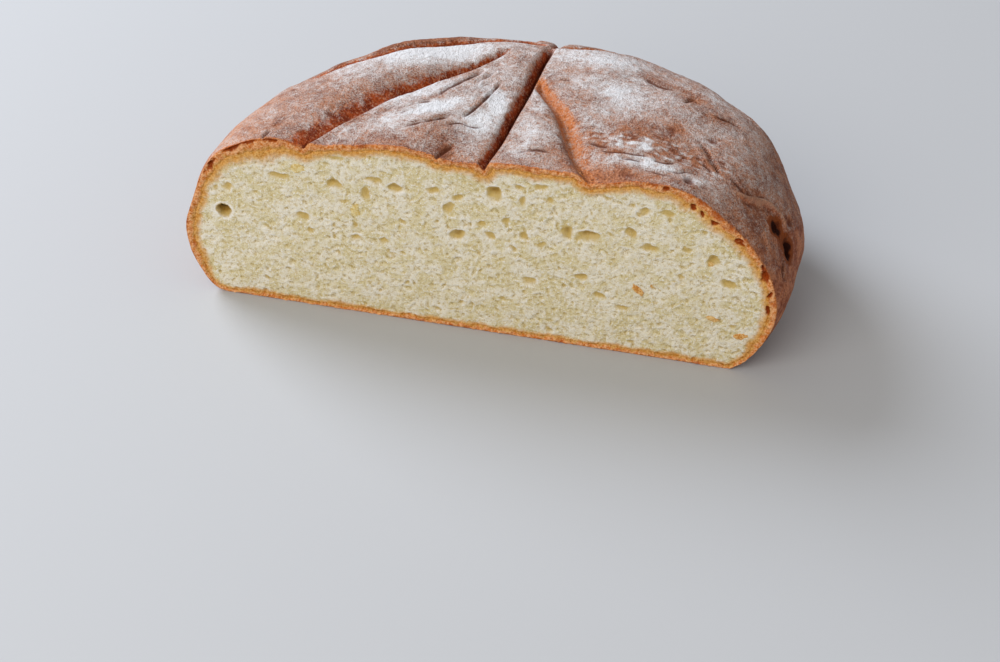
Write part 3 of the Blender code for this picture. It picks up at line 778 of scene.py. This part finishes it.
def crust_values(form):
    """Numbers for every point of the skin, by name."""
    form.normal_update()
    spots = np.array([point.co[:] for point in form.verts])
    normals = np.array([point.normal[:] for point in form.verts])
    crease_part, crack_part, toast_part, dust_part = (np.zeros(len(spots)) for _ in range(4))
    for crease in CREASES:
        sunk, lifted, wall, crack = crease_shape(crease, spots)
        toast_part = np.where(wall > crease_part, crease["toast"], toast_part)
        dust_part = np.where(wall > crease_part, crease["dust"], dust_part)
        crease_part = np.maximum(crease_part, wall)
        crack_part = np.maximum(crack_part, crack * min(1, crease["crack"]))
    x, y = spots[:, 0], spots[:, 1]
    # right: the steep right side, which gets painted bounced light in its colour and also less flour
    right = smooth_step(*LEVEL, normals[:, 2]) * smooth_step(*RIGHT_SIDE, x + 0.5 * y)
    # left: the left end, which gets painted light in its colour
    left = smooth_step(*LEFT_END, x) * smooth_step(*LEFT_FRONT, y)
    frayed = grains(spots, FRAY)
    crease_part *= 1 + FRAY_WALL * frayed
    crease_part *= 1 - TOAST_FADE * toast_part * smooth_step(*TOAST_BAND, y - CUT)
    crease_part = np.clip(crease_part, 0, 1)
    covered = smooth_step(*WALL_BAND, crease_part + frayed)
    flour = flour_share(spots, normals) * (1 - (1 - dust_part) * covered) * (1 - RIGHT_BARE * right)
    burst = [(*place, BLISTER_REACH * radius, depth ** 2) for *place, radius, depth in BLISTERS]
    hollow = -mark_push(burst, spots) / BLISTER_UNIT * (0.95 + grains(spots, BLISTER_CHANGE))
    return dict(flour=np.clip(flour, 0, 1.1), crease=crease_part, crack=crack_part, toast=toast_part,
                hollow=hollow, right=right, left=left, scorch=np.clip(-mark_push(SPOTS, spots), 0, 1),
                wrinkle=np.clip(-wrinkle_push(spots) / WRINKLE_UNIT, -1, 1))


def cut_values(places):
    """Numbers that the cut face needs, at places (x, z); a hole's lining gets painted shade under its roof.
    """
    lining_and_roof_shade = sample(soft_pores, places) ** LINING_POWER
    lining_and_roof_shade *= FLOOR_SHARE + (1 - FLOOR_SHARE) * sample(soft_roofs, places)
    tear = np.clip(sample(tears[0], places) / TEAR_UNIT, 0, 1)
    return dict(sunken=sample(sunken, places), pore=lining_and_roof_shade, tear=tear)


def give_values(mesh, values):
    for name, numbers in values.items():
        layer = mesh.attributes.new(name, "FLOAT", "POINT")
        layer.data.foreach_set("value", np.asarray(numbers, np.float32))


# %% [markdown]
# ## Into the frame
# The shape values are millimetres about the dome's axis.  The plain loaf has its origin under the
# middle of its box, in metres, with the cut at the front of the box, and that says where the axis
# stands.

# %% Place a form in the frame
AXIS_X = -0.48
cut_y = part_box("loaf")[0][1] / MM


def to_frame(spots):
    """Millimetres about the dome's axis to metres in the frame."""
    return (np.asarray(spots) + np.array([AXIS_X, cut_y - CUT, 0])) * MM


def make_piece(name, mesh):
    """Puts a mesh into the scene as a piece that rides on the loaf's body and replaces its plain node."""
    mesh.shade_smooth()
    piece = add_object(name, mesh)
    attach(piece, "root")
    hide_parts("loaf")
    print(name, "triangles:", sum(len(face.vertices) - 2 for face in mesh.polygons))
    return piece


# %% Crust as a piece
BEHIND_MOST = 5
values = crust_values(skin)
skin.verts.index_update()
band_numbers = np.array([[point.index for point in loop] for loop in band])
spots = np.array([point.co[:] for point in skin.verts])
values["inset"] = -np.clip(from_cut(spots)[:, 1], 0, BEHIND_MOST)
values.update({name: np.zeros(len(spots)) for name in ("sunken", "pore", "tear")})
for numbers, (distance, depth) in zip(band_numbers, CUT_LOOPS + CUT_LOOPS[-1:]):
    values["inset"][numbers] = distance
    for name, cut_part in cut_values(spots[numbers][:, [0, 2]]).items():
        values[name][numbers] = cut_part
crust_mesh = bpy.data.meshes.new("crust")
skin.to_mesh(crust_mesh)
skin.free()
crust_mesh.vertices.foreach_set("co", to_frame(spots).ravel())
give_values(crust_mesh, values)
crust = make_piece("crust", crust_mesh)

# %% [markdown]
# ## The crumb
# The crumb is a slab in the crust's pocket, with the depths on its front.  Its own outline stays
# hidden under the torn edge, where the slab is drawn back a little, so the two pass through each
# other along an uneven line, as crust and crumb do in bread.

# %% Crumb as a closed piece
CRUMB_EDGE = 1.6
CRUMB_BACK = 5.5
TUCK_DEPTH, TUCK_BAND = 1.6, (2.9, 1.5)
INSIDE_CORNERS = (np.s_[:-1, :-1], np.s_[:-1, 1:], np.s_[1:, 1:], np.s_[1:, :-1])


def inside_rows(outline):
    """Which points of the grid lie inside a closed outline."""
    start, end = outline, np.roll(outline, -1, axis=0)
    inside = np.zeros(grid_x.shape, bool)
    for row, z in enumerate(up):
        crosses = (start[:, 1] <= z) != (end[:, 1] <= z)
        a, b = start[crosses], end[crosses]
        where = np.sort(a[:, 0] + (z - a[:, 1]) / (b[:, 1] - a[:, 1]) * (b[:, 0] - a[:, 0]))
        inside[row] = np.searchsorted(where, across) % 2 == 1
    return inside


def crumb_slab(inside, depth):
    """The grid inside the outline as the front of a closed slab."""
    full = np.all([inside[corner] for corner in INSIDE_CORNERS], axis=0)
    used = np.zeros(inside.shape, bool)
    for corner in INSIDE_CORNERS:
        used[corner] |= full
    numbers = np.full(inside.shape, -1)
    numbers[used] = np.arange(used.sum())
    faces = np.column_stack([numbers[corner][full] for corner in INSIDE_CORNERS])
    spots = np.column_stack([grid_x[used], CUT + depth[used], grid_z[used]])
    mesh = bpy.data.meshes.new("crumb")
    mesh.from_pydata(to_frame(spots).tolist(), [], faces.tolist())
    give_values(mesh, dict(inset=inset[used], **cut_values(spots[:, [0, 2]])))
    form = bmesh.new()
    form.from_mesh(mesh)
    border = [edge for edge in form.edges if edge.is_boundary]
    pulled = bmesh.ops.extrude_edge_only(form, edges=border)["geom"]
    for point in (thing for thing in pulled if isinstance(thing, bmesh.types.BMVert)):
        point.co.y = (cut_y + CRUMB_BACK) * MM
    bmesh.ops.holes_fill(form, edges=[edge for edge in form.edges if edge.is_boundary], sides=0)
    bmesh.ops.recalc_face_normals(form, faces=form.faces)
    print("edges of the crumb that don't join two faces:", sum(not edge.is_manifold for edge in form.edges))
    form.to_mesh(mesh)
    form.free()
    return mesh


tucked = TUCK_DEPTH * smooth_step(*TUCK_BAND, inset)
crumb_grid = inside_rows(stations) & (inset > CRUMB_EDGE)
crumb = make_piece("crumb", crumb_slab(crumb_grid, CRUMB_LEVEL + relief + tucked))

# %% [markdown]
# ## Materials
# Colours are written as the hex values that one reads off a picture, and one function turns them
# into the linear values that shaders add up.  Another adds a node with its settings and links.  A
# crust is built up as a painter would, in coats: each new colour covers the ones before it where
# some value is high, so one function lays a coat.

# %% Colour and node helpers
def linear(hex_colour):
    """An sRGB hex colour as the linear colour that a shader needs."""
    parts = [int(hex_colour[place:place + 2], 16) / 255 for place in (1, 3, 5)]
    return [part / 12.92 if part <= 0.04045 else ((part + 0.055) / 1.055) ** 2.4 for part in parts] + [1]


def set_inputs(tree, node, inputs):
    """Links an input to the output given for it, or else sets its value."""
    for name, value in inputs.items():
        if isinstance(value, bpy.types.NodeSocket):
            tree.links.new(value, node.inputs[name])
        else:
            node.inputs[name].default_value = value


def add_node(tree, kind, inputs, output=0, **settings):
    """Adds a node with its settings, values and links, and returns one of its outputs."""
    node = tree.nodes.new("ShaderNode" + kind)
    for name, value in settings.items():
        setattr(node, name, value)
    set_inputs(tree, node, inputs)
    return node.outputs[output]


def sources(tree, stored, patterns=()):
    """Values stored on the mesh, by name, and noise patterns, by their real size in mm and detail."""
    place = add_node(tree, "TexCoord", {}, 3)
    values = [add_node(tree, "Attribute", {}, 2, attribute_name=name) for name in stored]
    for size, detail in patterns:
        scale = {"Vector": place, "Scale": 1 / (size * MM), "Detail": detail}
        values.append(add_node(tree, "TexNoise", scale))
    return values


def coat(tree, under, over, where, low, high, most=1):
    """Lays a colour over another one: none of it at the low end of a value, most at the high end."""
    limits = {"Value": where, "From Min": low, "From Max": high, "To Max": most}
    cover = add_node(tree, "MapRange", limits, interpolation_type="SMOOTHSTEP")
    under, over = (linear(colour) if isinstance(colour, str) else colour for colour in (under, over))
    return add_node(tree, "Mix", {0: cover, 6: under, 7: over}, 2, data_type="RGBA")


def coats(tree, colour, rows):
    """Lays several coats, each given as (over, where, low, high, most)."""
    for row in rows:
        colour = coat(tree, colour, *row)
    return colour


def waver(tree, value, pattern, strength, middle=0.5):
    """Moves a value up and down by a pattern, which is at its middle on the whole."""
    shift = {0: pattern, 1: strength, 2: -middle * strength}
    shift = add_node(tree, "Math", shift, operation="MULTIPLY_ADD")
    return add_node(tree, "Math", {0: value, 1: shift})


def new_material(name):
    material = bpy.data.materials.new(name)
    material.use_nodes = True
    tree = material.node_tree
    return material, tree, tree.nodes["Principled BSDF"]


# %% [markdown]
# ## The cut through the crust
# Where the knife went through, the crust shows its section: a thin brown skin, then orange and
# crumbly, then a yellow line where the crumb dried against it.  The crust and the crumb share this
# colouring, so that no seam shows where they meet.  The lumps of the crumbly part are 0.7 mm, and
# the yellow line frays over 2.4 mm.

# %% Section of the crust
CRUMBLE_LUMP = 0.7
BAKE_PATCH = 4.5
DRY_FRINGE = 2.4


def section_colour(tree, crumb_colour):
    """Colour of the cut face: the crust's section outside, the given crumb inside."""
    inset, sunken, tear, fringe, lumps, bake = sources(
        tree, ("inset", "sunken", "tear"), ((DRY_FRINGE, 3), (CRUMBLE_LUMP, 2), (BAKE_PATCH, 2)))
    reach = waver(tree, inset, fringe, 2.8)
    # paler crumbly lumps, with sunken places left darker as painted shade
    crumbs_and_pit_shade = add_node(tree, "Math", {0: sunken, 1: -0.16, 2: lumps}, operation="MULTIPLY_ADD")
    skin_line = add_node(tree, "Math", {0: bake, 1: -2, 2: inset}, operation="MULTIPLY_ADD")
    orange = coats(tree, "#da7c2e", [
        ("#ffc591", crumbs_and_pit_shade, 0.28, 0.74),
        ("#b04a10", bake, 0.56, 0.7, 0.6),
        ("#a84a16", skin_line, -0.5, -1.2, 0.5),
    ])
    yellow = coat(tree, "#ca8833", "#ecb96e", crumbs_and_pit_shade, 0.28, 0.74)
    inner = coat(tree, yellow, crumb_colour, reach, 3, 6.4)
    return coats(tree, orange, [(inner, reach, 1.3, 2.9), ("#9c3d0e", tear, 0.1, 0.7, 0.9)])


# %% [markdown]
# ## Baked crust under flour
# A crust is a thin, dry, browned shell: rough, with a faint gloss where it is bare.  Flour is a
# matt powder, so it takes the gloss away.  A grain of flour is far too fine to see, so the specks
# are drawn at 0.55 mm, as the clots that a sieve leaves.  They gather in drifts of 2.2 mm.

# %% Bare crust
CRUST_MOTTLE = 6
CRUST_SPECK = 0.9


def bare_crust(tree):
    """The browned shell: mottled and redder in its folds, with painted light on its right side and left end.
    """
    crease, toast, right, left, mottle, specks = sources(
        tree, ("crease", "toast", "right", "left"), ((CRUST_MOTTLE, 4), (CRUST_SPECK, 2)))
    brown = coats(tree, "#804c38", [
        ("#aa7052", mottle, 0.36, 0.64),
        # painted light: a lighter, warmer copy of the crust on the right side stands for warm light bounced
        # onto it
        (coat(tree, "#a0583a", "#cc845e", mottle, 0.36, 0.64), right, 0, 1, 0.95),
        # painted light: a lighter copy of the crust at the left end stands for the light falling there
        (coat(tree, "#b2704c", "#d0906a", mottle, 0.36, 0.64), left, 0, 1, 0.8),
        ("#4f2819", specks, 0.5, 0.3, 0.6),
        ("#cf9c80", specks, 0.54, 0.72, 0.55),
    ])
    wall = coats(tree, "#7a280e", [
        ("#aa481a", mottle, 0.38, 0.62),
        ("#c4743f", toast, 0, 1),
        ("#3d1408", specks, 0.46, 0.28, 0.5),
        ("#cf9a76", specks, 0.5, 0.7, 0.65),
    ])
    return coat(tree, brown, wall, waver(tree, crease, specks, 0.5), 0.12, 0.46, 0.94)


# %% Crust material
FLOUR_CLOT = 0.55
FLOUR_DRIFT = 2.2
TORN_LIP = 2.6  # how far the section's orange bites into the skin in teeth, mm
CRUST_LUMP = 0.7
FLOURY, BARE_GLOSS, FLOUR_GLOSS = 0.6, 0.58, 0.95


def crust_material():
    material, tree, shader = new_material("baked_crust_with_flour")
    inset, sieved, wrinkle, crack, hollow, scorch, clot, drift = sources(
        tree, ("inset", "flour", "wrinkle", "crack", "hollow", "scorch"), ((FLOUR_CLOT, 3), (FLOUR_DRIFT, 3)))
    # the clots lie thick where much was sieved, and none lie where there was hardly any
    flour = waver(tree, sieved, drift, 0.7)
    share = add_node(tree, "Math", {0: clot, 1: 1.8, 2: -0.88}, operation="MULTIPLY_ADD")
    share = add_node(tree, "Math", {0: flour, 1: 0.9, 2: share}, operation="MULTIPLY_ADD")
    limits = {"Value": share, "From Min": -0.1}, {"Value": flour, "From Min": 0.02, "From Max": 0.3}
    thick, there = (add_node(tree, "MapRange", limit, interpolation_type="SMOOTHSTEP") for limit in limits)
    veil = add_node(tree, "Math", {0: thick, 1: there}, operation="MULTIPLY")
    dusty = coat(tree, bare_crust(tree), "#a0908c", flour, 0.3, 1.05, 0.85)
    powder = coat(tree, "#c9bab4", "#e6e8ee", flour, 0.25, 0.95)
    # the torn lip of the cut comes last, over the flour
    teeth = add_node(tree, "Math", {0: clot, 1: drift})
    edge = waver(tree, inset, teeth, TORN_LIP, 1)
    floury = add_node(tree, "Mix", {0: veil, 6: dusty, 7: powder}, 2, data_type="RGBA")
    colour = coats(tree, floury, [
        # painted shade darkens the grooves of the wrinkles, and a painted highlight lightens their lips and
        # the ridges
        ("#643828", wrinkle, 0.12, 0.58, 0.84),
        ("#cfa58c", wrinkle, -0.18, -0.8, 0.5),
        ("#66301c", scorch, 0.1, 0.9, 0.8),
        # painted shade: the crack at the bottom of each seam is painted nearly black
        ("#430f05", crack, 0.2, 0.8, 0.85),
        # a burst blister's own brown and dark red, and at its deepest ends a near-black painted shade
        ("#86441f", hollow, 0.05, 0.2, 0.95),
        ("#5e2810", hollow, 0.5, 0.8, 0.85),
        ("#260903", hollow, 0.86, 1.06, 0.95),
        (section_colour(tree, linear("#e2d8b8")), edge, -0.85, -0.25),
    ])
    gloss = {"Value": veil, "From Max": FLOURY, "To Min": BARE_GLOSS, "To Max": FLOUR_GLOSS}
    lumps = add_node(tree, "Math", {0: drift, 1: 1.6, 2: clot}, operation="MULTIPLY_ADD")
    bump = add_node(tree, "Bump", {"Height": lumps, "Strength": 1, "Distance": CRUST_LUMP * MM})
    # so dry and dusty a skin hardly mirrors anything, hence the low specular level
    set_inputs(tree, shader, {"Base Color": colour, "Roughness": add_node(tree, "MapRange", gloss),
                              "Normal": bump, "IOR": 1.42, "Specular IOR Level": 0.08})
    return material


crust.data.materials.append(crust_material())

# %% [markdown]
# ## Wheat crumb
# The crumb is soft, pale and a little translucent.  The walls between the cells catch the light, and
# they get a painted highlight, nearly white, while sunken places get painted shade.  The linings of the
# larger holes are smooth and golden, with painted shade under their roofs.  The finest walls stand
# about 0.55 mm apart, and the shading from cell to cell is 1.8 mm wide.

# %% Crumb material
CRUMB_BROAD = 6
CELL_SHADE = 1.8
CRUMB_GRAIN = 0.55
CRUMB_LUMP = 0.45


def crumb_material():
    material, tree, shader = new_material("wheat_crumb")
    sunken, pore, broad, shade, fine = sources(
        tree, ("sunken", "pore"), ((CRUMB_BROAD, 2), (CELL_SHADE, 2), (CRUMB_GRAIN, 3)))
    height = add_node(tree, "Math", {0: sunken, 1: -0.34, 2: fine}, operation="MULTIPLY_ADD")
    cream = coats(tree, "#e2d6aa", [
        ("#f0ead6", broad, 0.38, 0.62),
        ("#cdb67a", shade, 0.48, 0.7, 0.7),
        # painted highlight on the cell walls, and painted shade where the crumb is sunken
        ("#fbf8f0", height, 0.49, 0.76, 0.95),
        ("#b0965a", height, 0.47, 0.14, 0.85),
        # the holes' own golden lining, with painted shade under their roofs and near-black painted shade
        # where deepest
        ("#cfb268", pore, 0.1, 0.5, 0.85),
        ("#9b7224", pore, 0.55, 1, 0.8),
        ("#35280f", pore, 1.1, 1.5, 0.96),
    ])
    bump = add_node(tree, "Bump", {"Height": fine, "Strength": 1, "Distance": CRUMB_LUMP * MM})
    set_inputs(tree, shader, {"Base Color": section_colour(tree, cream), "Normal": bump,
                              "Roughness": 0.85, "IOR": 1.4, "Specular IOR Level": 0.3})
    return material


crumb.data.materials.append(crumb_material())

# %% [markdown]
# ## Bits of onion
# A few bits of chopped onion show in the cut, pale yellow in the cool middle of the loaf and
# browned to orange near its ends.  Each is a flat wet flake, half buried.  A spot of colour would
# do from afar, but real flakes stand out of the crumb when the light comes from the side.

# %% Onion bits
ONION_BITS = [  # x, z, length, width, turn in degrees, how far browned
    (-74, 65.2, 6, 3.6, 8, 0.1), (-51.2, 49.2, 3.6, 5.4, 0, 0), (61.6, 31.4, 6.2, 2.8, -48, 0.8),
    (91.6, 22.8, 5, 2.4, -14, 0.6), (103.6, 16.2, 5.6, 3.4, 16, 1), (88.8, 48.2, 3.2, 2.2, -20, 0.45),
    (66.6, 34, 3, 1.8, -40, 0.6),
]
BIT_THICKNESS = 0.6
BIT_SWELL, BIT_WAVE = (0.45, 1.3), (0.18, 1.4)  # strength and fineness of a flake's uneven outline and face
ONION_LAYER = 0.9


def onion_bits():
    """Flat, uneven flakes set into the cut face, with how far each is browned."""
    form = bmesh.new()
    browned = []
    for x, z, length, width, turn, brown in ONION_BITS:
        flake = bmesh.ops.create_icosphere(form, subdivisions=4, radius=1)["verts"]
        level = CUT + CRUMB_LEVEL + float(sample(relief, np.array([[x, z]]))[0])
        for point in flake:
            swell = 1 + BIT_SWELL[0] * noise.noise(point.co * BIT_SWELL[1] + Vector((x, 0, z)))
            along, beside = 0.5 * length * swell * point.co.x, 0.5 * width * swell * point.co.z
            rough = BIT_WAVE[0] * noise.noise(Vector((along, x, beside)) * BIT_WAVE[1])
            dx, dz = turned(along, beside, -math.radians(turn))
            point.co = (x + dx, level + 0.5 * BIT_THICKNESS * point.co.y + rough, z + dz)
        browned += [brown] * len(flake)
    mesh = bpy.data.meshes.new("onion_bits")
    form.to_mesh(mesh)
    form.free()
    spots = np.array([point.co[:] for point in mesh.vertices])
    mesh.vertices.foreach_set("co", to_frame(spots).ravel())
    give_values(mesh, dict(browned=browned))
    return mesh


def onion_material():
    """Cooked onion: translucent and moist, golden to orange, with streaks along its layers."""
    material, tree, shader = new_material("cooked_onion")
    browned, layers = sources(tree, ("browned",), ((ONION_LAYER, 3),))
    yellow = coat(tree, "#d2b468", "#e8d8a2", layers, 0.38, 0.62)
    orange = coat(tree, "#c47a28", "#e8b870", layers, 0.38, 0.62)
    colour = coat(tree, yellow, orange, browned, 0, 1)
    set_inputs(tree, shader, {"Base Color": colour, "Roughness": 0.5, "IOR": 1.38})
    return material


onion = make_piece("onion_bits", onion_bits())
onion.data.materials.append(onion_material())

# %% [markdown]
# ## Table and light
# The loaf lay on a pale table by a large window on its left.  A plain pale floor, one very large
# soft lamp from the left and behind, and an even sky give the same soft shading with no props.

# %% Floor
FLOOR_HALF = 2
floor_mesh = bpy.data.meshes.new("floor")
corners = [(x * FLOOR_HALF, y * FLOOR_HALF, 0) for x, y in ((-1, -1), (1, -1), (1, 1), (-1, 1))]
floor_mesh.from_pydata(corners, [], [(0, 1, 2, 3)])
floor = add_object("floor", floor_mesh)
floor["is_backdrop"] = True
paint, paint_tree, paint_shader = new_material("matt_white_paint")
set_inputs(paint_tree, paint_shader, {"Base Color": linear("#b9bdc3"), "Roughness": 0.7})
floor_mesh.materials.append(paint)


# %% Light
def soft_lamp(name, place, size, power, colour):
    """A round area lamp, metres across, that looks at the loaf."""
    lamp = add_object(name, bpy.data.lights.new(name, "AREA"))
    lamp.data.shape = "DISK"
    lamp.data.size = size
    lamp.data.energy = power
    lamp.data.color = linear(colour)[:3]
    lamp.location = place
    lamp.rotation_euler = (-Vector(place)).to_track_quat("-Z", "Y").to_euler()
    return lamp


window = soft_lamp("window", place=(-1.6, 0.8, 1.2), size=1.3, power=50, colour="#f4f8ff")
room = soft_lamp("room", place=(-0.8, -1.6, 1.4), size=1.8, power=24, colour="#fff6ea")
world = bpy.data.worlds.new("room")
world.use_nodes = True
sky = world.node_tree.nodes["Background"]
set_inputs(world.node_tree, sky, {"Color": linear("#f7f3ee"), "Strength": 0.46})
bpy.context.scene.world = world
bpy.context.scene.view_settings.view_transform = "Standard"
print("lamps, m across:", window.data.size, room.data.size)

# %% Box of the dressed loaf, and the end
dressed_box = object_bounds()
print_box("dressed loaf, mm:", dressed_box)
